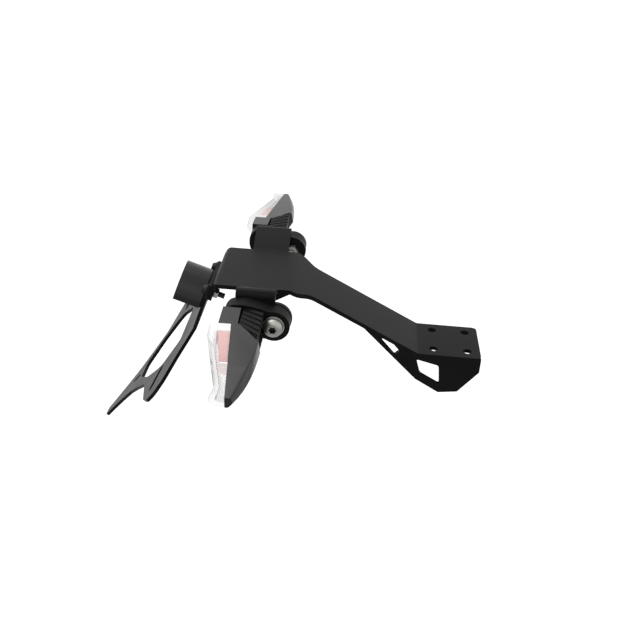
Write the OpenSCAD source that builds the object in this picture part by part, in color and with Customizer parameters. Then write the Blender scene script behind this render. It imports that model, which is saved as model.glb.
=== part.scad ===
/*
Motorbike tail tidy: a folded steel carrier with a level top plate, a number plate bracket,
a half-round number plate lamp and two bolt-on indicators.
X points to the front of the bike, Y to its left side and Z up, in millimetres.
The origin is the centre of the four fixing holes, on the upper face of the mounting pad.
*/

/* [Carrier] */
// Thickness of the carrier sheet
sheet_t = 3; // [2:0.5:4]
// Length of the level top plate, from its rear edge to the arm
plate_len = 55; // [52:1:70]
// Half of the width of the top plate
plate_half_w = 32; // [30:1:44]
// Corner radius at the rear of the top plate
plate_corner_r = 4; // [2:0.5:8]
// Radius of each bend in the carrier, on its upper face
bend_r = 4.5; // [4:0.5:6]
// Fall of the arm from level, in degrees
arm_fall = 26.7; // [15:0.1:35]
// Length of the arm along the bike
arm_run = 95; // [90:1:130]
// Half of the width of the arm and the pad
arm_half_w = 23; // [21:0.5:29]
// Length of the mounting pad
pad_len = 46; // [40:1:70]
// Distance from the pad's front edge to the centre of its holes
pad_hole_setback = 22; // [18:1:26]
// Spacing of the pad's holes along the bike
pad_hole_dx = 25; // [20:1:28]
// Spacing of the pad's holes across the bike
pad_hole_dy = 28; // [20:1:32]
// Diameter of the pad's holes
pad_hole_d = 6.5; // [5:0.1:8.5]
// Depth of the side flanges below the pad
flange_depth = 32; // [26:1:44]

/* [Indicator arms] */
// Distance from the plate's rear edge to the indicator arm
tab_start = 20; // [12:0.5:22]
// Width of the indicator arm along the bike
tab_w = 27; // [25:1:29]
// Distance from the centre line to the outer face of the upright ear
ear_out = 57.5; // [54:0.5:70]
// Height of the ear above the top plate
ear_top = 13; // [8:0.5:18]
// Distance from the arm's front edge to the centre of its bolt hole
lug_reach = 0.5; // [0:0.5:3]
// Distance from the top plate down to the centre of the bolt hole
lug_drop = 9.2; // [7:0.2:12]
// Radius of the round lug that takes the indicator bolt
lug_r = 11.5; // [10:0.5:13]
// Depth of the triangular stiffener in front of each indicator arm
gusset_depth = 9.5; // [6:0.5:12]
// Length of the triangular stiffener along the bike
gusset_len = 9; // [6:1:12]

/* [Rear flange and fasteners] */
// Lean of the rear flange from upright, in degrees
panel_tilt = 18; // [5:1:25]
// Length of the rear flange
rear_flange_len = 19; // [17:0.5:24]
// Half of the width of the rear flange
rear_flange_half_w = 27; // [26:0.5:29]
// Spacing of the bracket screws across the bike
screw_dy = 38; // [36:1:42]
// Distance from the plate's surface down to the bracket screws
screw_drop = 13; // [11:0.5:14]
// Diameter of the bracket screws
screw_d = 4; // [3:0.5:5]

/* [Number plate bracket] */
// Thickness of the bracket sheet
bracket_t = 2.5; // [1.5:0.5:3]
// Half of the width of the bracket's upper panel
upper_half_w = 28; // [26:0.5:31]
// Length of the upper panel down to its fold
upper_len = 40; // [38:0.5:48]
// Lean of the lower panel from upright, in degrees
lower_tilt = 37; // [28:1:45]
// Reach of each wing from the centre line
wing_reach = 84; // [78:1:100]
// Length of the lower panel from the fold to the tip of its tongue
tongue_len = 131; // [124:1:150]
// Half of the width of the central window at its top
window_half_w = 27; // [22:1:28]
// Width of the slots for the number plate screws
slot_w = 5; // [4:0.5:6.5]
// Length of the slots for the number plate screws
slot_len = 26; // [14:1:30]

/* [Number plate lamp] */
// Radius of the half-round lamp
lamp_r = 20.6; // [18:0.1:22]
// Depth of the lamp housing
lamp_depth = 20; // [14:0.5:30]
// Distance from the plate's surface down to the flat base of the lamp
lamp_drop = 29; // [27:0.5:30]
// Wall of the lamp housing
lamp_wall = 2; // [1.5:0.1:2.5]
// Thickness of the lamp gasket
gasket_t = 1.2; // [0.8:0.1:2]
// Spacing of the lamp studs
stud_dy = 14; // [12:1:16]
// Diameter of the lamp studs
stud_d = 3; // [2.5:0.5:4]

/* [Indicators] */
// Length of the indicator body, from its foot to its tip
body_len = 92; // [84:1:120]
// Height of the body at its foot
foot_end_h = 23.5; // [20:0.5:26]
// Height of the body at its tip
tip_end_h = 8; // [6:0.5:12]
// Width of the body along the bike at its widest
body_w = 42; // [38:0.5:46]
// Forward sweep of the seam between foot and tip
seam_sweep = 9.8; // [4:0.2:12]
// Wall of the indicator shell
shell_wall = 2; // [1.5:0.1:2.5]
// Wall of the indicator lens
lens_wall = 1.8; // [1.2:0.1:2.4]
// Thickness of the foot that is bolted to the ear
foot_t = 11; // [9:0.5:14]
// Radius of the foot's round ear
foot_ear_r = 11; // [10:0.5:12]
// Diameter of the indicator bolt
bolt_d = 6; // [5:0.5:8]
// Radius of the bolt's domed head
bolt_head_r = 6.8; // [6.2:0.1:7.4]
// Height of the bolt's domed head
bolt_head_h = 5.2; // [3.5:0.1:6]
// Depth of the round pocket that the bolt head sits in
pocket_depth = 1; // [0.5:0.5:4]
// Number of ridges on the flexible neck
ridges = 7; // [4:1:8]

/* [Hidden] */

$fn = 48;
fit = 0.25;
seam_gap = 0.1;
steps = 6;
big = 400;
right = -1;
left = 1;

// Colours, as the finish of each piece
satin_black = [0.16, 0.16, 0.17];
moulded_black = [0.10, 0.10, 0.11];
steel = [0.78, 0.78, 0.76];
clear = [0.92, 0.94, 0.95, 0.45];
reflector_grey = [0.82, 0.82, 0.82];
bar_red = [0.85, 0.35, 0.33];
board_green = [0.10, 0.30, 0.18];
rubber_black = [0.07, 0.07, 0.07];

// Places worked out from the sizes above
arm_drop = arm_run * tan(arm_fall);
pad_start = plate_len + arm_run;
pad_end = pad_start + pad_len;
pad_hole_x = pad_end - pad_hole_setback;
lug_x = tab_start + tab_w + lug_reach;
lug_z = -lug_drop;
ear_in = ear_out - sheet_t;
foot_out = ear_out + foot_t;
body_in = foot_out + 3;
body_z = lug_z + 2;
front_x = lug_x - 3.5;
channel_floor = body_z - 4;
channel_top = body_z + 7;
bolt_seat = foot_out - pocket_depth;
pocket_r = bolt_head_r + 1.5;
lamp_back = -bracket_t - gasket_t;
sleeve_r = bolt_d / 2 + 1.6;
washer_t = 1.2;
thin_washer_t = 1;
boss_len = 9;
board_t = 1.6;
nut_h = bolt_d * 0.9;

// Small helpers for outlines and folded sheet
function unit(v) = v / norm(v);
function turn_in(a, b, c, r, n) =
    let (p = b + r * unit(a - b), q = b + r * unit(c - b))
    [for (i = [0 : n]) let (t = i / n) (1 - t) * (1 - t) * p + 2 * t * (1 - t) * b + t * t * q];
function turned(v, a) = [v[0] * cos(a) - v[1] * sin(a), v[0] * sin(a) + v[1] * cos(a)];
function bend_at(a, b, c, r) =
    let (u = unit(a - b), v = unit(c - b), half = acos(u * v) / 2,
         centre = b + r / sin(half) * unit(u + v), from = b + r / tan(half) * u - centre,
         sweep = (2 * half - 180) * sign(cross(u, v)))
    [for (i = [0 : steps]) centre + turned(from, sweep * i / steps)];
function open_path(pts, r) =
    [for (i = [0 : len(pts) - 1])
        each (i == 0 || i == len(pts) - 1) ? [pts[i]] : bend_at(pts[i - 1], pts[i], pts[i + 1], r)];
function closed_path(pts, r, n = steps) =
    let (m = len(pts))
    [for (i = [0 : m - 1]) each turn_in(pts[(i + m - 1) % m], pts[i], pts[(i + 1) % m], r, n)];
function side_step(path, i) =
    let (d = unit(path[min(i + 1, len(path) - 1)] - path[max(i - 1, 0)]))
    [d[1], -d[0]];
function folded(path, t) =
    concat(path, [for (i = [len(path) - 1 : -1 : 0]) path[i] + t * side_step(path, i)]);

// Moves a shape from the plate's frame, whose origin is the rear edge, to the part's frame
module placed() {
    translate([-pad_hole_x, 0, arm_drop]) children();
}

// The frame of the leaning rear flange: -X points to the rear and up, -Z down along the sheet
module on_flange() {
    rotate([0, panel_tilt, 0]) children();
}

// An XZ outline made into a plate across Y
module across(y_from, y_to) {
    translate([0, y_to, 0]) rotate([90, 0, 0]) linear_extrude(y_to - y_from) children();
}

// A YZ outline made into a strip along X
module along(x_from, x_to) {
    translate([x_from, 0, 0]) rotate([90, 0, 90]) linear_extrude(x_to - x_from) children();
}

module both_sides() {
    children();
    mirror([0, 1, 0]) children();
}

// The indicators are drawn on the right, and mirrored for the left
module on_side(side) {
    placed() if (side == right) children();
    else mirror([0, 1, 0]) children();
}

// The carrier is one laser-cut and folded sheet
module plate_outline() {
    neck_x = plate_len + 14;
    half = [[0, plate_half_w], [plate_len + 4, plate_half_w], [neck_x, arm_half_w],
            [pad_end, arm_half_w]];
    outline = concat(half, [for (i = [len(half) - 1 : -1 : 0]) [half[i][0], -half[i][1]]]);
    polygon(closed_path(outline, plate_corner_r));
}

module main_profile() {
    c = cos(panel_tilt);
    s = sin(panel_tilt);
    path = open_path([[-rear_flange_len * s, -rear_flange_len * c], [0, 0], [plate_len, 0],
                      [pad_start, -arm_drop], [pad_end, -arm_drop]], bend_r);
    polygon(folded(path, sheet_t));
}

module flange_limit() {
    on_flange() rotate([0, -90, 0]) linear_extrude(20, center = true)
        polygon(closed_path([[-rear_flange_len, rear_flange_half_w], [-rear_flange_len, -rear_flange_half_w],
                             [12, -rear_flange_half_w], [12, rear_flange_half_w]], 8));
}

module side_flange() {
    low = -arm_drop - flange_depth;
    start_x = pad_start - 42;
    start_z = -(start_x - plate_len) * tan(arm_fall) - sheet_t;
    nose = 12;
    outline = [[start_x, start_z], [pad_start, low + 10], [pad_start + 18, low],
               [pad_end - nose - 2, low + 2], [pad_end, -arm_drop - nose], [pad_end, -arm_drop - 1],
               [pad_start, -arm_drop - 1], [start_x, start_z + 1]];
    difference() {
        across(arm_half_w - sheet_t, arm_half_w) polygon(outline);
        clip_slot();
        flange_window();
    }
}

module clip_slot() {
    translate([pad_start - 21, 0, -arm_drop + 5]) rotate([0, 47, 0])
        across(arm_half_w - sheet_t - 1, arm_half_w + 1) square([16, 5], center = true);
}

module flange_window() {
    outline = [[pad_start - 1, -arm_drop - 5], [pad_start + 16, -arm_drop - 9],
               [pad_start + 18, -arm_drop - 25], [pad_start + 3, -arm_drop - 17]];
    across(arm_half_w - sheet_t - 1, arm_half_w + 1) polygon(closed_path(outline, 2));
}

// The indicator arm rises from the plate's side and turns down into an ear with a round lug
module ear_outline() {
    front = tab_start + tab_w;
    top = ear_top - 2 * bend_r;
    low = lug_z - lug_r + 3;
    polygon(closed_path([[tab_start, low], [tab_start, top], [front, top], [front, lug_z],
                         [front - 6, low]], 3));
    translate([lug_x, lug_z]) circle(lug_r);
}

module indicator_arm() {
    rise = [[plate_half_w - 12, 0], [plate_half_w, 0], [ear_out, ear_top], [ear_out, 0]];
    difference() {
        union() {
            along(tab_start, tab_start + tab_w) polygon(folded(open_path(rise, bend_r), sheet_t));
            across(ear_in, ear_out) ear_outline();
        }
        translate([lug_x, 0, lug_z]) rotate([90, 0, 0])
            cylinder(d = bolt_d + 2 * fit, h = big, center = true);
    }
}

// A small folded triangle under the plate's edge, in front of the indicator arm
module edge_gusset() {
    start = tab_start + tab_w - 5;
    end = min(start + 4 + gusset_len, plate_len + 1);
    across(plate_half_w - sheet_t, plate_half_w)
        polygon([[start, -1], [start, -gusset_depth], [start + 2, -gusset_depth],
                 [end, -sheet_t], [end, -1]]);
}

module carrier() {
    placed() color(satin_black) difference() {
        union() {
            difference() {
                intersection() {
                    across(-plate_half_w, plate_half_w) main_profile();
                    union() {
                        linear_extrude(big, center = true) plate_outline();
                        flange_limit();
                    }
                }
                pad_holes();
            }
            both_sides() side_flange();
            both_sides() indicator_arm();
            both_sides() edge_gusset();
        }
        screw_holes(screw_d, screw_dy);
        screw_holes(stud_d, stud_dy);
    }
}

module pad_holes() {
    for (x = [-1, 1], y = [-1, 1])
        translate([pad_hole_x + x * pad_hole_dx / 2, y * pad_hole_dy / 2, -arm_drop])
            cylinder(d = pad_hole_d, h = 20, center = true);
}

// Clearance holes through the rear flange and the bracket
module screw_holes(d, dy) {
    on_flange() for (y = [-1, 1])
        translate([0, y * dy / 2, -screw_drop]) rotate([0, 90, 0])
            cylinder(d = d + 2 * fit, h = 16, center = true);
}

// The number plate bracket is one sheet with a fold between its two panels
module lower_outline() {
    w = wing_reach;
    half = [[upper_half_w + 4, 1], [41, -4], [56, -13], [w - 8, -22], [w, -30], [w, -38], [w - 9, -46],
            [39, -60], [26, -76], [17, -89], [11, -105], [6.5, 9 - tongue_len], [5, -tongue_len]];
    outline = concat(half, [for (i = [len(half) - 1 : -1 : 0]) [-half[i][0], half[i][1]]]);
    difference() {
        polygon(closed_path(outline, 2.5, 4));
        window_outline();
        both_wings() translate([57, -37]) rotate(-12) slot(slot_len, slot_w);
        translate([0, -87]) rotate(90) slot(9, 4.5);
    }
}

module both_wings() {
    children();
    mirror([1, 0]) children();
}

module slot(l, w) {
    hull_len = l - w;
    square([hull_len, w], center = true);
    for (s = [-1, 1]) translate([s * hull_len / 2, 0]) circle(d = w);
}

module window_outline() {
    w = window_half_w;
    half = [[w - 1, -18.5], [w + 12, -36], [w + 11, -43], [w + 2, -60], [10, -77]];
    polygon(closed_path(concat(half, [for (i = [len(half) - 1 : -1 : 0]) [-half[i][0], half[i][1]]]), 3));
}

module plate_bracket() {
    placed() color(satin_black) difference() {
        on_flange() {
            upper_panel();
            lower_panel();
        }
        screw_holes(screw_d, screw_dy);
        screw_holes(stud_d, stud_dy);
    }
}

module upper_panel() {
    top = -8;
    chamfer = 7;
    w = upper_half_w;
    outline = [[top, w - chamfer], [top, -w + chamfer], [top - chamfer, -w], [4 - upper_len, -w],
               [-upper_len - 1, -w - 4], [-upper_len - 1, w + 4], [4 - upper_len, w], [top - chamfer, w]];
    translate([-bracket_t, 0, 0]) rotate([0, -90, 180]) linear_extrude(bracket_t) polygon(outline);
}

module lower_panel() {
    translate([0, 0, -upper_len]) rotate([0, lower_tilt - panel_tilt, 0])
        translate([-bracket_t, 0, 0]) rotate([90, 0, 90]) linear_extrude(bracket_t) lower_outline();
}

// Screws, washers and nuts that clamp the bracket to the rear flange
module bracket_screws() {
    head_h = screw_d * 0.6;
    placed() color(moulded_black) on_flange() for (y = [-1, 1])
        translate([-bracket_t - thin_washer_t, y * screw_dy / 2, -screw_drop]) rotate([0, 90, 0]) {
            cylinder(d = screw_d, h = bracket_t + thin_washer_t + sheet_t + 2 * screw_d);
            translate([0, 0, -head_h]) cylinder(d1 = screw_d * 1.1, d2 = screw_d * 1.8, h = head_h);
        }
}

module bracket_washers() {
    placed() color(moulded_black) on_flange() for (y = [-1, 1])
        translate([-bracket_t - thin_washer_t, y * screw_dy / 2, -screw_drop]) rotate([0, 90, 0])
            flat_ring(screw_d * 1.05, screw_d / 2, thin_washer_t);
}

module bracket_nuts() {
    placed() color(steel) on_flange() for (y = [-1, 1])
        translate([sheet_t, y * screw_dy / 2, -screw_drop]) rotate([0, 90, 0])
            hex_nut(screw_d, screw_d * 1.75, screw_d * 0.8);
}

module flat_ring(r, bore_r, h) {
    difference() {
        cylinder(r = r, h = h);
        translate([0, 0, -1]) cylinder(r = bore_r, h = h + 2);
    }
}

module hex_nut(bore, flats, h) {
    difference() {
        cylinder(d = flats / cos(30), h = h, $fn = 6);
        translate([0, 0, -1]) cylinder(d = bore, h = h + 2);
    }
}

// The lamp: a half-round housing with its window in the flat base
module half_round(r, base) {
    intersection() {
        circle(r);
        translate([base, -r]) square([r + 1, 2 * r]);
    }
}

module lamp_solid(r, base, from, depth) {
    translate([from, 0, -lamp_drop]) rotate([0, -90, 0]) linear_extrude(depth) half_round(r, base);
}

module at_studs(x) {
    for (y = [-1, 1]) translate([x, y * stud_dy / 2, -screw_drop]) rotate([0, -90, 0]) children();
}

module lamp_housing() {
    placed() color(moulded_black) on_flange() difference() {
        lamp_solid(lamp_r, 0, lamp_back, lamp_depth);
        difference() {
            lamp_solid(lamp_r - lamp_wall, lamp_wall + 1, lamp_back - lamp_wall, lamp_depth - 2 * lamp_wall);
            at_studs(lamp_back) cylinder(d = stud_d + 3, h = boss_len);
        }
        lamp_window_shape(fit, 1);
        at_studs(lamp_back + 1) cylinder(d = stud_d, h = boss_len - 1);
    }
}

module lamp_window_shape(gap, sink) {
    l = lamp_depth - 2 * lamp_wall - 3 + 2 * gap;
    w = 2 * (lamp_r - 5) + 2 * gap;
    translate([lamp_back - lamp_depth / 2, 0, -lamp_drop + (lamp_wall + 1) / 2])
        cube([l, w, lamp_wall + 1 + 2 * sink], center = true);
}

module lamp_window() {
    placed() color(clear) on_flange() lamp_window_shape(0, 0);
}

module lamp_board() {
    led = 3;
    led_t = 1.4;
    z = -lamp_drop + lamp_wall + 5;
    placed() color(board_green) on_flange() translate([lamp_back - lamp_depth / 2, 0, z]) {
        cube([lamp_depth - 2 * lamp_wall - 2 * fit, 2 * lamp_r - 12, board_t], center = true);
        for (y = [-1, 0, 1]) translate([0, y * 8, -(board_t + led_t) / 2 + 0.1])
            cube([led, led, led_t], center = true);
    }
}

module lamp_gasket() {
    placed() color(rubber_black) on_flange() difference() {
        lamp_solid(lamp_r - 0.6, 0.6, -bracket_t, gasket_t);
        at_studs(0) cylinder(d = stud_d + 2 * fit, h = big, center = true);
    }
}

module lamp_studs() {
    inner = boss_len - 2;
    placed() color(steel) on_flange() at_studs(sheet_t + 5)
        cylinder(d = stud_d, h = sheet_t + 5 - lamp_back + inner);
}

module lamp_nuts() {
    h = stud_d * 0.8;
    placed() color(steel) on_flange() at_studs(sheet_t + h) hex_nut(stud_d, stud_d * 1.8, h);
}

// The indicator body is a loft of rounded six-sided rings from its foot to its tip.
// Each edge is a curve of f, which runs from 0 at the foot to 1 at the tip.
function flare(f) = pow(max(0, f - 0.82) / 0.18, 2);
function rear_edge(f) = front_x - body_w * (1 - min(0.535 * f, 0.46) + 0.05 * flare(f));
function front_edge(f) = front_x - 0.18 * body_w * pow(f, 4);
function crease(f) = min(front_edge(f) - 1.5, front_x - 0.37 * body_w * (f - 0.41));
function seam(f) = front_x - 0.56 * body_w + seam_sweep * f;
function half_h(f) = (foot_end_h + (tip_end_h - foot_end_h) * f) / 2;
function top_edge(f) = body_z + half_h(f);
function base_edge(f) = body_z - half_h(f);
function along_body(f) = -body_in - body_len * f;
function ring_middle(f) = [(rear_edge(f) + front_edge(f)) / 2, body_z];
function ring(f, wall) =
    let (w = front_edge(f) - rear_edge(f), h = 2 * half_h(f), tip = 1 - 0.12 * pow(f, 8),
         pts = [[rear_edge(f) + 0.16 * w, base_edge(f) + 1], [front_edge(f) - 0.2 * w, base_edge(f)],
                [front_edge(f), body_z], [crease(f), top_edge(f)],
                [rear_edge(f) + 0.06 * w, top_edge(f) - 0.5], [rear_edge(f), body_z]],
         k = tip * (1 - 2 * wall / min(w, h)))
    closed_path([for (p = pts) ring_middle(f) + k * (p - ring_middle(f))], 1, 3);

module body_loft(wall, f_from, f_to) {
    n = 14;
    fs = [for (i = [0 : n]) f_from + (f_to - f_from) * i / n];
    rings = [for (f = fs) ring(f, wall)];
    m = len(rings[0]);
    points = [for (i = [0 : n], p = rings[i]) [p[0], along_body(fs[i]), p[1]]];
    middles = [for (f = [f_from, f_to]) [ring_middle(f)[0], along_body(f), body_z]];
    near_middle = (n + 1) * m;
    far_middle = near_middle + 1;
    skin = [for (i = [0 : n - 1], j = [0 : m - 1]) let (a = i * m + j, b = i * m + (j + 1) % m)
        each [[a, b + m, b], [a, a + m, b + m]]];
    near_cap = [for (j = [0 : m - 1]) [near_middle, j, (j + 1) % m]];
    far_cap = [for (j = [0 : m - 1]) [far_middle, n * m + (j + 1) % m, n * m + j]];
    polyhedron(concat(points, middles), concat(skin, near_cap, far_cap), convexity = 4);
}

// The part of a loft above an outline seen from above
module column(outline) {
    linear_extrude(big, center = true) polygon(outline);
}

// Two inboard edges of the shell: the forehead behind the neck and the slanted mouth in front of it
lens_start = 0.2;
mouth = [[front_x - 16, along_body(0.2)], [front_x - 1, along_body(0.385)], [front_x + 16, along_body(0.4)]];
forehead = [[front_x - 30, along_body(-0.012)], [front_x - 18, along_body(-0.007)],
            [front_x - 17.5, along_body(0.19)]];

module shell_area(gap) {
    column(concat(forehead, mouth, [[front_x + 16, along_body(1.01)], [seam(1.01) + gap, along_body(1.01)],
                  [seam(lens_start) + gap, along_body(lens_start)],
                  [seam(lens_start) + gap, along_body(lens_start) + gap],
                  [front_x - 30, along_body(lens_start) + gap]]));
}

module lens_area(gap) {
    rear = front_x - body_w - 10;
    column([[rear, along_body(1.01)], [rear, along_body(lens_start) - gap],
            [seam(lens_start) - gap, along_body(lens_start) - gap], [seam(1.01) - gap, along_body(1.01)]]);
}

module shell_body() {
    inboard = [[front_x - 27, along_body(0.03)], [front_x - 21, along_body(0.035)],
               [front_x - 20, along_body(0.225)], [front_x - 16.5, along_body(0.235)],
               [front_x - 2, along_body(0.42)], [front_x + 16, along_body(0.435)]];
    difference() {
        intersection() {
            body_loft(0, -0.02, 1);
            shell_area(seam_gap);
        }
        intersection() {
            body_loft(shell_wall, 0.02, 0.96);
            column(concat(inboard, [[front_x + 16, along_body(1)], [seam(1) - 5, along_body(1)],
                                    [seam(0.24) - 5, along_body(0.24)], [front_x - 27, along_body(0.23)]]));
        }
    }
}

module lens_body() {
    start = lens_start + lens_wall / body_len;
    rear = front_x - body_w - 10;
    difference() {
        intersection() {
            body_loft(0, 0, 1);
            lens_area(seam_gap);
        }
        intersection() {
            body_loft(lens_wall, 0, 0.97);
            column([[rear, along_body(start)], [front_x, along_body(start)], [front_x, along_body(0.97)],
                    [rear, along_body(0.97)]]);
        }
    }
}

// A strip that runs along the seam, given by its distances from it
function seam_strip(f_from, f_to, rear_from, rear_to, front) =
    [[seam(f_from) + rear_from, along_body(f_from)], [seam(f_to) + rear_to, along_body(f_to)],
     [seam(f_to) + front, along_body(f_to)], [seam(f_from) + front, along_body(f_from)]];

// An open channel along the seam, which the light bar lies in
module reflector_body() {
    wall = 1.5;
    difference() {
        intersection() {
            body_loft(shell_wall + fit, 0, 0.9);
            column(seam_strip(0.235, 0.62, -10.5, -10.5, 2));
        }
        intersection() {
            column(seam_strip(0.245, 0.61, wall - 10.5, wall - 10.5, 2 - wall));
            translate([0, 0, channel_floor]) cylinder(r = big, h = big);
        }
        translate([0, 0, channel_top]) cylinder(r = big, h = big);
    }
}

module light_bar_body() {
    intersection() {
        column(seam_strip(0.25, 0.6, -8, -5.5, -0.2));
        translate([0, 0, channel_floor]) cylinder(r = big, h = channel_top - channel_floor - 1);
        body_loft(shell_wall + 2 * fit, 0, 0.9);
    }
}

module board_body() {
    intersection() {
        column(seam_strip(0.25, 0.55, 2, 2, 2 + board_t));
        translate([0, 0, body_z - 4]) cylinder(r = big, h = 8);
    }
}

// The foot: a round ear with the bolt's pocket, a thick root and a ridged flexible neck
module foot_outline() {
    root = lug_x - 34;
    polygon(closed_path([[root, -9], [root, -1], [root + 4, 4.5], [root + 14, 5.5], [root + 24, 3.5],
                         [lug_x, lug_z + foot_ear_r - 1], [lug_x, lug_z - foot_ear_r + 1],
                         [root + 27, -19], [root + 12, -18.5], [root + 3, -15]], 3));
    translate([lug_x, lug_z]) circle(foot_ear_r);
}

// The neck runs out to the shell's slanted mouth, and its ridges fan out along it
module neck() {
    z_low = body_z - 8.8;
    z_high = body_z + 8.4;
    neck_w = 10.5;
    neck_x = front_x - 15;
    ridge_h = 1.6;
    ridge_t = 3.7;
    ridge_pitch = 37 / ridges;
    root_y = 1 - foot_out;
    mouth_f = 0.39;
    module block(grow) {
        translate([neck_x - grow, along_body(mouth_f), z_low - grow])
            cube([neck_w + 2 * grow, root_y - along_body(mouth_f), z_high - z_low + 2 * grow]);
    }
    intersection() {
        union() {
            block(0);
            intersection() {
                block(ridge_h);
                for (i = [0 : ridges - 1]) let (t = i / (ridges - 1))
                    translate([neck_x, -foot_out - ridge_pitch * i, 0]) rotate([0, 0, -26 - 19 * t])
                        translate([-2 * neck_w, -ridge_t / 2, -big / 2]) cube([5 * neck_w, ridge_t, big]);
            }
        }
        column([[neck_x - 4, root_y], [front_x + 16, root_y], [front_x + 16, mouth[2][1] + seam_gap],
                [mouth[1][0], mouth[1][1] + seam_gap], [mouth[0][0], mouth[0][1] + seam_gap],
                [forehead[2][0] + seam_gap, forehead[2][1] + seam_gap]]);
    }
}

module foot_body() {
    difference() {
        union() {
            across(-foot_out, -ear_out) foot_outline();
            neck();
        }
        bolt_frame() {
            cylinder(r = sleeve_r, h = big, center = true);
            translate([0, 0, bolt_seat]) cylinder(r = pocket_r, h = big);
        }
    }
}

// The bolt runs from the head in the foot's pocket to a nut inside the ear
module bolt_frame() {
    translate([lug_x, 0, lug_z]) rotate([90, 0, 0]) children();
}

module bolt_body() {
    head = bolt_seat + washer_t;
    inside = ear_in - nut_h - 2;
    recess_r = bolt_head_r * 0.43;
    recess_depth = 2.6;
    rim = 1;
    dome = [for (i = [1 : 8]) let (a = 90 * i / 8)
        [bolt_head_r * cos(a * 0.72), rim + (bolt_head_h - rim) * sin(a)]];
    bolt_frame() difference() {
        union() {
            translate([0, 0, inside]) cylinder(d = bolt_d, h = head - inside);
            translate([0, 0, head]) rotate_extrude()
                polygon(concat([[0, 0], [bolt_head_r, 0], [bolt_head_r, rim]], dome, [[0, bolt_head_h]]));
        }
        translate([0, 0, head + bolt_head_h - recess_depth]) linear_extrude(recess_depth + 1)
            star(recess_r, recess_r * 0.72);
    }
}

module star(r_out, r_in) {
    polygon([for (i = [0 : 11]) let (r = i % 2 == 0 ? r_out : r_in) [r * cos(30 * i), r * sin(30 * i)]]);
}

module foot(side) {
    color(rubber_black) on_side(side) foot_body();
}

module shell(side) {
    color(moulded_black) on_side(side) shell_body();
}

module lens(side) {
    color(clear) on_side(side) lens_body();
}

module reflector(side) {
    color(reflector_grey) on_side(side) reflector_body();
}

module light_bar(side) {
    color(bar_red) on_side(side) light_bar_body();
}

module board(side) {
    color(board_green) on_side(side) board_body();
}

module bolt(side) {
    color(steel) on_side(side) bolt_body();
}

module washer(side) {
    color(steel) on_side(side) bolt_frame() translate([0, 0, bolt_seat])
        flat_ring(bolt_head_r + 0.7, bolt_d / 2, washer_t);
}

module sleeve(side) {
    color(steel) on_side(side) bolt_frame() translate([0, 0, ear_out])
        flat_ring(sleeve_r, bolt_d / 2, foot_t - pocket_depth);
}

module nut(side) {
    color(steel) on_side(side) bolt_frame() translate([0, 0, ear_in - nut_h])
        hex_nut(bolt_d, bolt_d * 1.67, nut_h);
}

carrier();
plate_bracket();
bracket_screws();
bracket_washers();
bracket_nuts();
lamp_housing();
lamp_window();
lamp_board();
lamp_gasket();
lamp_studs();
lamp_nuts();
foot(right);  // foot_right
shell(right);  // shell_right
lens(right);  // lens_right
reflector(right);  // reflector_right
light_bar(right);  // light_bar_right
board(right);  // board_right
bolt(right);  // bolt_right
washer(right);  // washer_right
sleeve(right);  // sleeve_right
nut(right);  // nut_right
foot(left);  // foot_left
shell(left);  // shell_left
lens(left);  // lens_left
reflector(left);  // reflector_left
light_bar(left);  // light_bar_left
board(left);  // board_left
bolt(left);  // bolt_left
washer(left);  // washer_left
sleeve(left);  // sleeve_left
nut(left);  // nut_left
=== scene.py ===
"""Dresses the motorbike tail tidy: coated sheet, plated fasteners, plate lamp and indicators."""

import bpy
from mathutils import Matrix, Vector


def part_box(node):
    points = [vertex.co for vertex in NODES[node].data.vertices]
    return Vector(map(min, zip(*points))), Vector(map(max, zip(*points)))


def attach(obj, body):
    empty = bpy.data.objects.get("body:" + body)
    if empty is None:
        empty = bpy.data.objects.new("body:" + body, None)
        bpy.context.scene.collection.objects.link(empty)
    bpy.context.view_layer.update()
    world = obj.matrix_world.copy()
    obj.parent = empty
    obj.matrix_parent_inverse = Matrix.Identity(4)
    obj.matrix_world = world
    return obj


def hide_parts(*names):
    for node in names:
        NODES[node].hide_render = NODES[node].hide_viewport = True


bl_info = {
    "name": "Tail Tidy Dresser",
    "version": (1, 0, 0),
    "blender": (4, 5, 0),
    "location": "View3D > Sidebar > Tail tidy",
    "description": "Adds finishes and fine pieces to a packed motorbike tail tidy",
    "category": "Object",
}

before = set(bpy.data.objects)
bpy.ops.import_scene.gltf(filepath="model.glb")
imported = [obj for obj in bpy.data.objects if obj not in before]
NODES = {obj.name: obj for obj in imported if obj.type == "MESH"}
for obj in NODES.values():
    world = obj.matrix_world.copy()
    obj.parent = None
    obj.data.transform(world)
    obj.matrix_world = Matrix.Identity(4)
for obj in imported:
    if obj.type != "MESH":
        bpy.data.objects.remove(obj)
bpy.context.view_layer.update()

import math

import bmesh
import bpy
from bpy.props import FloatProperty, FloatVectorProperty, PointerProperty
from mathutils import Matrix, Vector

BODY = "root"
SIDES = ("right", "left")
MM = 0.001
FLANGE_LEAN = math.radians(18.0)

# The floor: where it lies, how far it goes, its own light, and where reflections fade it in
FLOOR_HEIGHT = -0.62
FLOOR_REACH = 12.0
FLOOR_GLOW = 0.62
FLOOR_FADE = (0.0, 1.2)

# The world's light on the object, and what is added where it is seen or mirrored
WORLD_LIGHT = 0.55
WORLD_SHOWN = 0.45

# A bolt head's recess, where a dark material paints the shade inside it, measured from the top of
# the head and from its axis
RECESS_LIP = 0.35 * MM
RECESS_FLOOR = 3.2 * MM
RECESS_RADIUS = 2.95 * MM

# The pitch of each thread, and the steps in one turn of it
SCREW_PITCH = 0.7 * MM
STUD_PITCH = 0.5 * MM
THREAD_STEPS = 20

# Where a thread's ridge starts, peaks and ends, as shares of its pitch
THREAD_RUN_IN = 0.2
THREAD_CREST = 0.35
THREAD_WIDTH = 0.7

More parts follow.
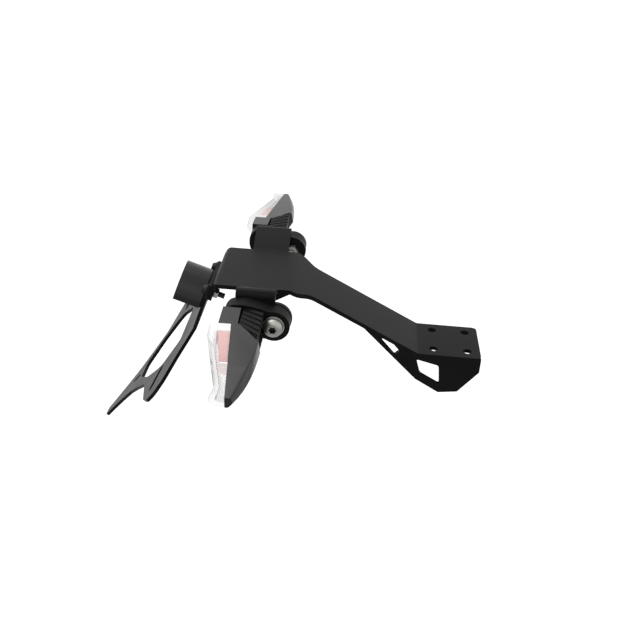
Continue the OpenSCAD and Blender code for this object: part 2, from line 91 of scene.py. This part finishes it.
# How far a ridge sinks into the core, how far it stays from the end, and where the core is measured
THREAD_SINK = 0.1 * MM
THREAD_RUN_OUT = 0.3 * MM
SHANK_END = 0.1 * MM

# How near vertices are joined in a copy, and how flat faces are made one
JOIN_WITHIN = 0.002 * MM
FLAT_WITHIN = math.radians(0.4)

# The camera, as fitted to the photograph
CAMERA_PLACE = (-0.0771, -0.5653, 0.3244)
CAMERA_TURN = math.radians(3.0)
CAMERA_DROOP = math.radians(28.8)
CAMERA_ROLL = math.radians(3.3)
FOCAL_PIXELS = 860.0
PICTURE_WIDTH_PIXELS = 618.0
SENSOR_WIDTH = 36.0

# Where the softboxes stand, and the place that they face
KEY_PLACE = (-0.5, 0.35, 1.1)
FILL_PLACE = (-0.3, -1.0, 0.9)
LIGHT_TARGET = (-0.1, 0.0, 0.0)

# Where the painted glow at the bright end of the reflector tray starts, as a share of its length,
# and how sharply
TIP_START = 0.91
TIP_SHARPNESS = 12.0

# Sockets of a Mix node set to colours; they are numbered because their names repeat
MIX_FACTOR, MIX_LOW, MIX_HIGH = 0, 6, 7
MIX_RESULT = 2


class Wire:
    """A shader socket that adds Math nodes when it is used in an expression."""

    def __init__(self, tree, socket):
        self.tree = tree
        self.socket = socket

    def _math(self, operation, *values):
        maths = self.tree.nodes.new("ShaderNodeMath")
        maths.operation = operation
        for slot, value in zip(maths.inputs, values):
            if isinstance(value, Wire):
                self.tree.links.new(value.socket, slot)
            else:
                slot.default_value = value
        return Wire(self.tree, maths.outputs[0])

    def __add__(self, other):
        return self._math("ADD", self, other)

    def __radd__(self, other):
        return self._math("ADD", other, self)

    def __sub__(self, other):
        return self._math("SUBTRACT", self, other)

    def __rsub__(self, other):
        return self._math("SUBTRACT", other, self)

    def __mul__(self, other):
        return self._math("MULTIPLY", self, other)

    def __rmul__(self, other):
        return self._math("MULTIPLY", other, self)

    def limit(self, low, high):
        return self._math("MINIMUM", self._math("MAXIMUM", self, low), high)


class Finish:
    """A node material: one Principled shader and the nodes that vary it."""

    def __init__(self, name):
        self.material = bpy.data.materials.new(name)
        self.material.use_nodes = True
        self.tree = self.material.node_tree
        self.shader = self.tree.nodes["Principled BSDF"]

    def node(self, kind, settings=None, inputs=None, output=0):
        """Adds a node, sets its settings, then its sockets, and gives back one output."""
        made = self.tree.nodes.new(kind)
        for key, value in (settings or {}).items():
            setattr(made, key, value)
        for key, value in (inputs or {}).items():
            self.feed(made.inputs[key], value)
        return Wire(self.tree, made.outputs[output])

    def feed(self, socket, value):
        if isinstance(value, Wire):
            self.tree.links.new(value.socket, socket)
        else:
            socket.default_value = value

    def set(self, **sockets):
        for key, value in sockets.items():
            self.feed(self.shader.inputs[key.replace("_", " ")], value)

    def place(self):
        """The place on the piece, in the piece's own coordinates."""
        return self.node("ShaderNodeTexCoord", output="Object")

    def across(self):
        """The place across the bike, from right to left."""
        return self.node("ShaderNodeSeparateXYZ", inputs={"Vector": self.place()}, output="Y")

    def noise(self, scale, detail=2.0, rough=0.5):
        return self.node(
            "ShaderNodeTexNoise",
            inputs={
                "Vector": self.place(), "Scale": scale, "Detail": detail, "Roughness": rough,
            },
        )

    def blend(self, factor, low, high):
        """Mixes two colours by a value."""
        return self.node(
            "ShaderNodeMix", {"data_type": "RGBA"},
            {MIX_FACTOR: factor, MIX_LOW: low, MIX_HIGH: high}, MIX_RESULT,
        )

    def bump(self, height, strength, distance):
        self.set(Normal=self.node(
            "ShaderNodeBump",
            inputs={"Height": height, "Strength": strength, "Distance": distance},
        ))
        return self


def grey(value):
    return (value, value, value, 1.0)


def toned(colour, factor):
    """A colour made darker or lighter by a factor."""
    return (*(min(1.0, c * factor) for c in colour[:3]), 1.0)


def colour_setting(name, description, default):
    return FloatVectorProperty(
        name=name, description=description, subtype="COLOR", size=4, default=default,
        min=0.0, max=1.0,
    )


class TidyProperties(bpy.types.PropertyGroup):
    """Sizes and colours that a user would change."""

    coat_colour: colour_setting("Powder coat", "Colour of the coated sheet", grey(0.006))
    moulding_colour: colour_setting(
        "Black plastic", "Colour of the shells and the lamp", grey(0.01),
    )
    rubber_colour: colour_setting("Rubber", "Colour of the feet and necks", grey(0.006))
    steel_colour: colour_setting(
        "Plated steel", "Colour of bolts and nuts", (0.48, 0.48, 0.45, 1.0),
    )
    bar_colour: colour_setting(
        "Light bar", "Colour of the indicator's light bar", (0.78, 0.3, 0.28, 1.0),
    )
    coat_roughness: FloatProperty(
        name="Coat roughness", description="Roughness of the powder coat", subtype="FACTOR",
        default=0.38, min=0.0, max=1.0,
    )
    sheet_edge: FloatProperty(
        name="Sheet edge", description="Rounding along the cut edges of the sheet", unit="LENGTH",
        default=0.5 * MM, min=0.0, max=1.2 * MM,
    )
    moulded_edge: FloatProperty(
        name="Moulded edge", description="Rounding along the edges of moulded pieces",
        unit="LENGTH", default=0.35 * MM, min=0.0, max=1.0 * MM,
    )
    thread_depth: FloatProperty(
        name="Thread depth", description="Height of the screw threads over their core",
        unit="LENGTH", default=0.132 * MM, min=0.05 * MM, max=0.3 * MM,
    )
    key_power: FloatProperty(
        name="Key light", description="Power of the softbox above", unit="POWER",
        default=5.0, min=0.0, max=1000.0,
    )
    fill_power: FloatProperty(
        name="Fill light", description="Power of the softbox by the camera", unit="POWER",
        default=1.0, min=0.0, max=1000.0,
    )


def sizes():
    return bpy.context.scene.tail_tidy


def powder_coat():
    s = sizes()
    coat = Finish("powder coat")
    peel = coat.noise(scale=900.0)
    dust = coat.noise(scale=55.0, detail=3.0)
    coat.set(
        Base_Color=coat.blend(dust, toned(s.coat_colour, 0.7), toned(s.coat_colour, 1.4)),
        Roughness=s.coat_roughness + 0.1 * (dust - 0.5),
        Specular_IOR_Level=0.09,
    )
    return coat.bump(peel, strength=0.08, distance=0.2 * MM).material


def black_moulding(name, roughness, gloss):
    s = sizes()
    plastic = Finish(name)
    grain = plastic.noise(scale=600.0)
    cloud = plastic.noise(scale=45.0)
    plastic.set(
        Base_Color=plastic.blend(
            cloud, toned(s.moulding_colour, 0.8), toned(s.moulding_colour, 1.25)
        ),
        Roughness=roughness + 0.08 * (cloud - 0.5),
        Specular_IOR_Level=gloss,
    )
    return plastic.bump(grain, strength=0.05, distance=0.2 * MM).material


def soft_rubber():
    s = sizes()
    rubber = Finish("soft rubber")
    grain = rubber.noise(scale=350.0, detail=3.0)
    rubber.set(
        Base_Color=rubber.blend(grain, toned(s.rubber_colour, 0.7), toned(s.rubber_colour, 1.4)),
        Roughness=0.5 + 0.12 * (grain - 0.5),
        Specular_IOR_Level=0.1,
    )
    return rubber.bump(grain, strength=0.1, distance=0.2 * MM).material


def plated_steel():
    s = sizes()
    steel = Finish("plated steel")
    mottle = steel.noise(scale=220.0, detail=4.0)
    steel.set(
        Base_Color=steel.blend(mottle, toned(s.steel_colour, 0.65), toned(s.steel_colour, 1.15)),
        Roughness=0.42 + 0.2 * (mottle - 0.5),
        Metallic=1.0,
    )
    return steel.bump(mottle, strength=0.05, distance=0.1 * MM).material


# Black steel for the bracket washers and screws; inside the bolt heads' recesses it is painted
# shade.
def black_steel_and_recess_shade():
    s = sizes()
    steel = Finish("black steel and recess shade")
    mottle = steel.noise(scale=260.0, detail=3.0)
    steel.set(
        Base_Color=steel.blend(mottle, toned(s.coat_colour, 0.9), toned(s.coat_colour, 2.2)),
        Roughness=0.36 + 0.12 * (mottle - 0.5),
        Specular_IOR_Level=0.3,
    )
    return steel.bump(mottle, strength=0.05, distance=0.1 * MM).material


def distance_out(finish, node, reach=1.0):
    """0 at a node's inboard end and 1 at a share of its length, on both sides of the bike."""
    low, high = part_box(node)
    start, end = abs(high[1]), abs(low[1])
    away = finish.node("ShaderNodeMath", {"operation": "ABSOLUTE"}, {0: finish.across()})
    return finish.node(
        "ShaderNodeMapRange",
        inputs={"Value": away, "From Min": start, "From Max": start + reach * (end - start)},
    )


def clear_plastic():
    """Clear plastic as a thin wall: nearly nothing from the front and grey along its edges, a
    painted shade where they are seen at a slant; a painted glow fades out from its inboard end.
    """
    lens = Finish("clear plastic")
    out = distance_out(lens, "lens_right")
    frosted = 1.0 - distance_out(lens, "lens_right", reach=0.12)
    ripple = lens.noise(scale=70.0, detail=1.0)
    facing = lens.node("ShaderNodeLayerWeight", inputs={"Blend": 0.35}, output="Facing")
    rim = (1.25 * facing * facing).limit(0.0, 1.0)
    lens.set(
        # Base colour goes dark grey where the surface is seen at a slant: painted edge shade.
        Base_Color=lens.blend(rim, (0.93, 0.91, 0.9, 1.0), grey(0.1)),
        Roughness=0.06 + 0.02 * ripple,
        Alpha=(0.1 + 0.7 * rim + 0.6 * frosted).limit(0.0, 1.0),
        # Emission paints a pale glow, strongest at the inboard end where the surface faces the
        # view, though the indicator is not lit.
        Emission_Color=lens.blend((out + rim).limit(0.0, 1.0), grey(0.46), grey(0.0)),
        Emission_Strength=1.0,
        Specular_IOR_Level=0.5,
    )
    return lens.material


# The reflector tray; its outboard tip is given a painted glow.
def bright_tray():
    tray = Finish("reflector tray")
    mottle = tray.noise(scale=90.0)
    along = distance_out(tray, "reflector_right")
    tip = (TIP_SHARPNESS * (along - TIP_START)).limit(0.0, 1.0)
    tray.set(
        Base_Color=tray.blend(mottle, (0.9, 0.79, 0.78, 1.0), (0.95, 0.86, 0.85, 1.0)),
        # Emission paints a glow at the tray's outboard tip, though the indicator is not lit.
        Emission_Color=tray.blend(tip, grey(0.0), (0.26, 0.2, 0.2, 1.0)),
        Emission_Strength=1.0,
        Roughness=0.25 + 0.1 * (mottle - 0.5),
        Metallic=0.6,
    )
    return tray.bump(mottle, strength=0.05, distance=0.2 * MM).material


def light_guide():
    """The bar is pale near the foot, and its colour is full towards the tip."""
    s = sizes()
    guide = Finish("light guide")
    full = distance_out(guide, "light_bar_right", reach=0.9)
    guide.set(
        Base_Color=guide.blend(full, toned(s.bar_colour, 1.2), s.bar_colour),
        Roughness=0.25 + 0.1 * full,
    )
    return guide.material


def circuit_board():
    board = Finish("circuit board")
    mottle = board.noise(scale=300.0)
    board.set(
        Base_Color=board.blend(mottle, (0.02, 0.1, 0.04, 1.0), (0.03, 0.14, 0.06, 1.0)),
        Roughness=0.4,
    )
    return board.material


def paired(*names):
    return [f"{name}_{side}" for side in SIDES for name in names]


def copied(node):
    """A copy of a CAD node's shape, with its loose triangles joined and its flat faces made one."""
    shape = bmesh.new()
    shape.from_mesh(NODES[node].data)
    bmesh.ops.remove_doubles(shape, verts=shape.verts, dist=JOIN_WITHIN)
    bmesh.ops.dissolve_limit(
        shape, angle_limit=FLAT_WITHIN, verts=shape.verts, edges=shape.edges,
    )
    return shape


def add_piece(name, shape, material, *nodes, rounding=0.0, steps=2, crease=30.0):
    """Makes an object from a shape, rounds its edges, and hides the CAD nodes it takes the place
    of.
    """
    mesh = bpy.data.meshes.new(name)
    shape.to_mesh(mesh)
    shape.free()
    mesh.materials.append(material)
    mesh.shade_smooth()
    mesh.set_sharp_from_angle(angle=math.radians(crease))
    piece = bpy.data.objects.new(name, mesh)
    bpy.context.scene.collection.objects.link(piece)
    if rounding:
        bevel = piece.modifiers.new("rounded edges", "BEVEL")
        bevel.width = rounding
        bevel.segments = steps
        bevel.limit_method = "ANGLE"
        bevel.angle_limit = math.radians(crease)
        bevel.harden_normals = True
    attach(piece, BODY)
    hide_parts(*nodes)
    return piece


def dress(material, *nodes, **rounding):
    """Puts a rounded copy of each CAD node in its place and hides the node."""
    for node in nodes:
        add_piece(f"{node}_piece", copied(node), material, node, **rounding)


def islands(shape):
    """The separate lumps of a shape, as lists of vertices, always in the same order."""
    seen = set()
    for first in shape.verts:
        if first in seen:
            continue
        seen.add(first)
        lump = [first]
        for vert in lump:
            for edge in vert.link_edges:
                other = edge.other_vert(vert)
                if other not in seen:
                    seen.add(other)
                    lump.append(other)
        yield lump


def spindle(verts, axis):
    """Where a turned piece lies: a point on its axis, and how far it runs along it."""
    along = [v.co.dot(axis) for v in verts]
    flat = [v.co - axis * v.co.dot(axis) for v in verts]
    middle = Vector(((min(f[i] for f in flat) + max(f[i] for f in flat)) / 2 for i in range(3)))
    return middle, min(along), max(along)


def add_thread(shape, middle, axis, start, end, core, pitch):
    """Winds a closed ridge round a shank, from one place on its axis to another."""
    side = axis.orthogonal().normalized()
    turns = max(1, int((end - start) / pitch) - 1)
    foot = middle + axis * (start + pitch * THREAD_RUN_IN)
    profile = [
        foot + side * (core - THREAD_SINK),
        foot + side * (core + sizes().thread_depth) + axis * pitch * THREAD_CREST,
        foot + side * (core - THREAD_SINK) + axis * pitch * THREAD_WIDTH,
    ]
    shank = set(shape.faces)
    section = shape.faces.new([shape.verts.new(point) for point in profile])
    bmesh.ops.spin(
        shape, geom=[section, *section.edges, *section.verts], cent=middle, axis=axis,
        dvec=axis * pitch / THREAD_STEPS, angle=2 * math.pi * turns, steps=THREAD_STEPS * turns,
        use_duplicate=False,
    )
    ridge = [face for face in shape.faces if face not in shank]
    bmesh.ops.recalc_face_normals(shape, faces=ridge)


def paint_recess_shade(shape):
    """Gives the faces inside a bolt head's recess the second material, a dark steel that paints the
    shade in the recess.
    """
    middle, low, high = spindle(shape.verts, Vector((0.0, 1.0, 0.0)))
    outward = 1.0 if high > 0.0 else -1.0
    top = high if outward > 0.0 else -low
    for face in shape.faces:
        centre = face.calc_center_median()
        depth = top - outward * centre.y
        from_axis = math.hypot(centre.x - middle.x, centre.z - middle.z)
        if RECESS_LIP < depth < RECESS_FLOOR and from_axis < RECESS_RADIUS:
            face.material_index = 1


class TIDY_OT_sheets(bpy.types.Operator):
    """Coats the carrier and the number plate bracket, and rounds their cut edges"""

    bl_idname = "tidy.sheets"
    bl_label = "Coat the sheets"

    def execute(self, context):
        dress(powder_coat(), "carrier", "plate_bracket", rounding=sizes().sheet_edge)
        return {"FINISHED"}


class TIDY_OT_fasteners(bpy.types.Operator):
    """Finishes the screws, bolts, washers and nuts, and winds the threads"""

    bl_idname = "tidy.fasteners"
    bl_label = "Plate the fasteners"

    def execute(self, context):
        steel, black = plated_steel(), black_steel_and_recess_shade()
        edge = sizes().moulded_edge
        dress(black, "bracket_washers", rounding=edge * 0.6)
        dress(steel, "bracket_nuts", "lamp_nuts", rounding=edge)
        for node in paired("bolt"):
            shape = copied(node)
            paint_recess_shade(shape)
            bolt = add_piece(
                f"{node}_piece", shape, steel, node, rounding=edge * 0.4, crease=28.0
            )
            # The second material paints the shade inside the head's recess.
            bolt.data.materials.append(black)
        dress(steel, *paired("washer", "sleeve"), rounding=edge * 0.6)
        dress(steel, *paired("nut"), rounding=edge * 1.3)
        self.threaded("bracket_screws", "bracket_nuts", black, SCREW_PITCH)
        self.threaded("lamp_studs", "lamp_nuts", steel, STUD_PITCH)
        return {"FINISHED"}

    def threaded(self, node, nut_node, finish, pitch):
        """Winds a thread round each shank where it stands out of its nut."""
        edge = sizes().moulded_edge
        ahead = Vector((math.cos(FLANGE_LEAN), 0.0, -math.sin(FLANGE_LEAN)))
        shape = copied(node)
        nuts = copied(nut_node)
        nut_face = max(v.co.dot(ahead) for v in nuts.verts)
        nuts.free()
        for lump in list(islands(shape)):
            middle, start, end = spindle(lump, ahead)
            core = min(
                (v.co - ahead * v.co.dot(ahead) - middle).length
                for v in lump if v.co.dot(ahead) > end - SHANK_END
            )
            add_thread(shape, middle, ahead, nut_face, end - THREAD_RUN_OUT, core, pitch)
        add_piece(f"{node}_piece", shape, finish, node, rounding=edge * 0.4)


class TIDY_OT_plate_lamp(bpy.types.Operator):
    """Finishes the number plate lamp"""

    bl_idname = "tidy.plate_lamp"
    bl_label = "Finish the plate lamp"

    def execute(self, context):
        edge = sizes().moulded_edge
        casing = black_moulding("lamp moulding", roughness=0.26, gloss=0.34)
        dress(casing, "lamp_housing", rounding=edge * 2, steps=3)
        dress(soft_rubber(), "lamp_gasket", rounding=edge * 0.6)
        dress(clear_plastic(), "lamp_window", rounding=edge)
        dress(circuit_board(), "lamp_board", rounding=edge * 0.3)
        return {"FINISHED"}


class TIDY_OT_indicators(bpy.types.Operator):
    """Finishes both indicators"""

    bl_idname = "tidy.indicators"
    bl_label = "Finish the indicators"

    def execute(self, context):
        edge = sizes().moulded_edge
        casing = black_moulding("indicator moulding", roughness=0.3, gloss=0.4)
        dress(casing, *paired("shell"), rounding=edge * 1.6)
        dress(soft_rubber(), *paired("foot"), rounding=edge * 1.2)
        dress(clear_plastic(), *paired("lens"))
        dress(bright_tray(), *paired("reflector"), rounding=edge * 0.5)
        dress(light_guide(), *paired("light_bar"), rounding=edge * 1.5)
        dress(circuit_board(), *paired("board"))
        return {"FINISHED"}


def softbox(name, place, width, height, power):
    """A rectangular light that faces the object."""
    data = bpy.data.lights.new(name, "AREA")
    data.shape = "RECTANGLE"
    data.size, data.size_y = width, height
    data.energy = power
    lamp = bpy.data.objects.new(name, data)
    bpy.context.scene.collection.objects.link(lamp)
    turned = (Vector(place) - Vector(LIGHT_TARGET)).to_track_quat("Z", "Y").to_matrix().to_4x4()
    lamp.matrix_world = Matrix.Translation(place) @ turned


class TIDY_OT_stage(bpy.types.Operator):
    """Sets the floor, the light and the camera"""

    bl_idname = "tidy.stage"
    bl_label = "Set the stage"

    def execute(self, context):
        s = sizes()
        scene = context.scene
        scene.view_settings.view_transform = "Standard"
        self.camera(scene)
        self.floor()
        self.world(scene)
        softbox("key", KEY_PLACE, width=1.0, height=0.8, power=s.key_power)
        softbox("fill", FILL_PLACE, width=0.8, height=0.8, power=s.fill_power)
        return {"FINISHED"}

    def camera(self, scene):
        right = Vector((math.cos(CAMERA_TURN), math.sin(CAMERA_TURN), 0.0))
        ahead = Vector((
            -math.sin(CAMERA_TURN) * math.cos(CAMERA_DROOP),
            math.cos(CAMERA_TURN) * math.cos(CAMERA_DROOP),
            -math.sin(CAMERA_DROOP),
        ))
        up = right.cross(ahead)
        rolled_right = right * math.cos(CAMERA_ROLL) + up * math.sin(CAMERA_ROLL)
        rolled_up = up * math.cos(CAMERA_ROLL) - right * math.sin(CAMERA_ROLL)
        data = bpy.data.cameras.new("photo angle")
        data.sensor_fit = "HORIZONTAL"
        data.sensor_width = SENSOR_WIDTH
        data.lens = SENSOR_WIDTH * FOCAL_PIXELS / PICTURE_WIDTH_PIXELS
        data.clip_start = 0.01
        data.clip_end = 50.0
        camera = bpy.data.objects.new("photo angle", data)
        scene.collection.objects.link(camera)
        turned = Matrix((rolled_right, rolled_up, -ahead)).transposed().to_4x4()
        camera.matrix_world = Matrix.Translation(CAMERA_PLACE) @ turned
        scene.camera = camera

    def floor(self):
        mesh = bpy.data.meshes.new("floor")
        bm = bmesh.new()
        bmesh.ops.create_grid(bm, x_segments=1, y_segments=1, size=FLOOR_REACH)
        bmesh.ops.translate(bm, verts=bm.verts, vec=(0.0, 0.0, FLOOR_HEIGHT))
        bm.to_mesh(mesh)
        bm.free()
        floor = bpy.data.objects.new("floor", mesh)
        bpy.context.scene.collection.objects.link(floor)
        pale = Finish("pale floor")
        far_side = pale.node(
            "ShaderNodeMapRange", {"interpolation_type": "SMOOTHSTEP"},
            {"Value": pale.across(), "From Min": FLOOR_FADE[0], "From Max": FLOOR_FADE[1]},
        )
        mirrored = self.seen(pale.tree, "Is Glossy Ray") * far_side
        shown = self.seen(pale.tree, "Is Camera Ray", "Is Transmission Ray") + mirrored
        pale.set(
            Base_Color=grey(0.85),
            Roughness=0.9,
            Specular_IOR_Level=0.0,
            Emission_Color=pale.blend(shown.limit(0.0, 1.0), grey(0.0), grey(FLOOR_GLOW)),
            Emission_Strength=1.0,
        )
        mesh.materials.append(pale.material)

    def seen(self, tree, *kinds):
        """1 on the kinds of ray that show the surroundings, and 0 on the others."""
        path = tree.nodes.new("ShaderNodeLightPath")
        rays = [Wire(tree, path.outputs[kind]) for kind in kinds]
        return sum(rays[1:], rays[0]).limit(0.0, 1.0)

    def world(self, scene):
        world = bpy.data.worlds.new("studio")
        world.use_nodes = True
        scene.world = world
        tree = world.node_tree
        background = tree.nodes["Background"]
        background.inputs["Color"].default_value = grey(1.0)
        shown = self.seen(tree, "Is Camera Ray", "Is Glossy Ray", "Is Transmission Ray")
        strength = shown * WORLD_SHOWN + WORLD_LIGHT
        tree.links.new(strength.socket, background.inputs["Strength"])


class TIDY_PT_panel(bpy.types.Panel):
    """Lists the steps that dress the tail tidy"""

    bl_idname = "TIDY_PT_panel"
    bl_label = "Tail tidy"
    bl_space_type = "VIEW_3D"
    bl_region_type = "UI"
    bl_category = "Tail tidy"

    def draw(self, context):
        for step in STEPS:
            self.layout.operator(step.bl_idname)


STEPS = (TIDY_OT_sheets, TIDY_OT_fasteners, TIDY_OT_plate_lamp, TIDY_OT_indicators, TIDY_OT_stage)
CLASSES = (TidyProperties, *STEPS, TIDY_PT_panel)


def register():
    for cls in CLASSES:
        bpy.utils.register_class(cls)
    bpy.types.Scene.tail_tidy = PointerProperty(type=TidyProperties)


def unregister():
    del bpy.types.Scene.tail_tidy
    for cls in reversed(CLASSES):
        bpy.utils.unregister_class(cls)


def main():
    register()
    bpy.ops.tidy.sheets()
    bpy.ops.tidy.fasteners()
    bpy.ops.tidy.plate_lamp()
    bpy.ops.tidy.indicators()
    bpy.ops.tidy.stage()


if __name__ == "__main__":
    main()
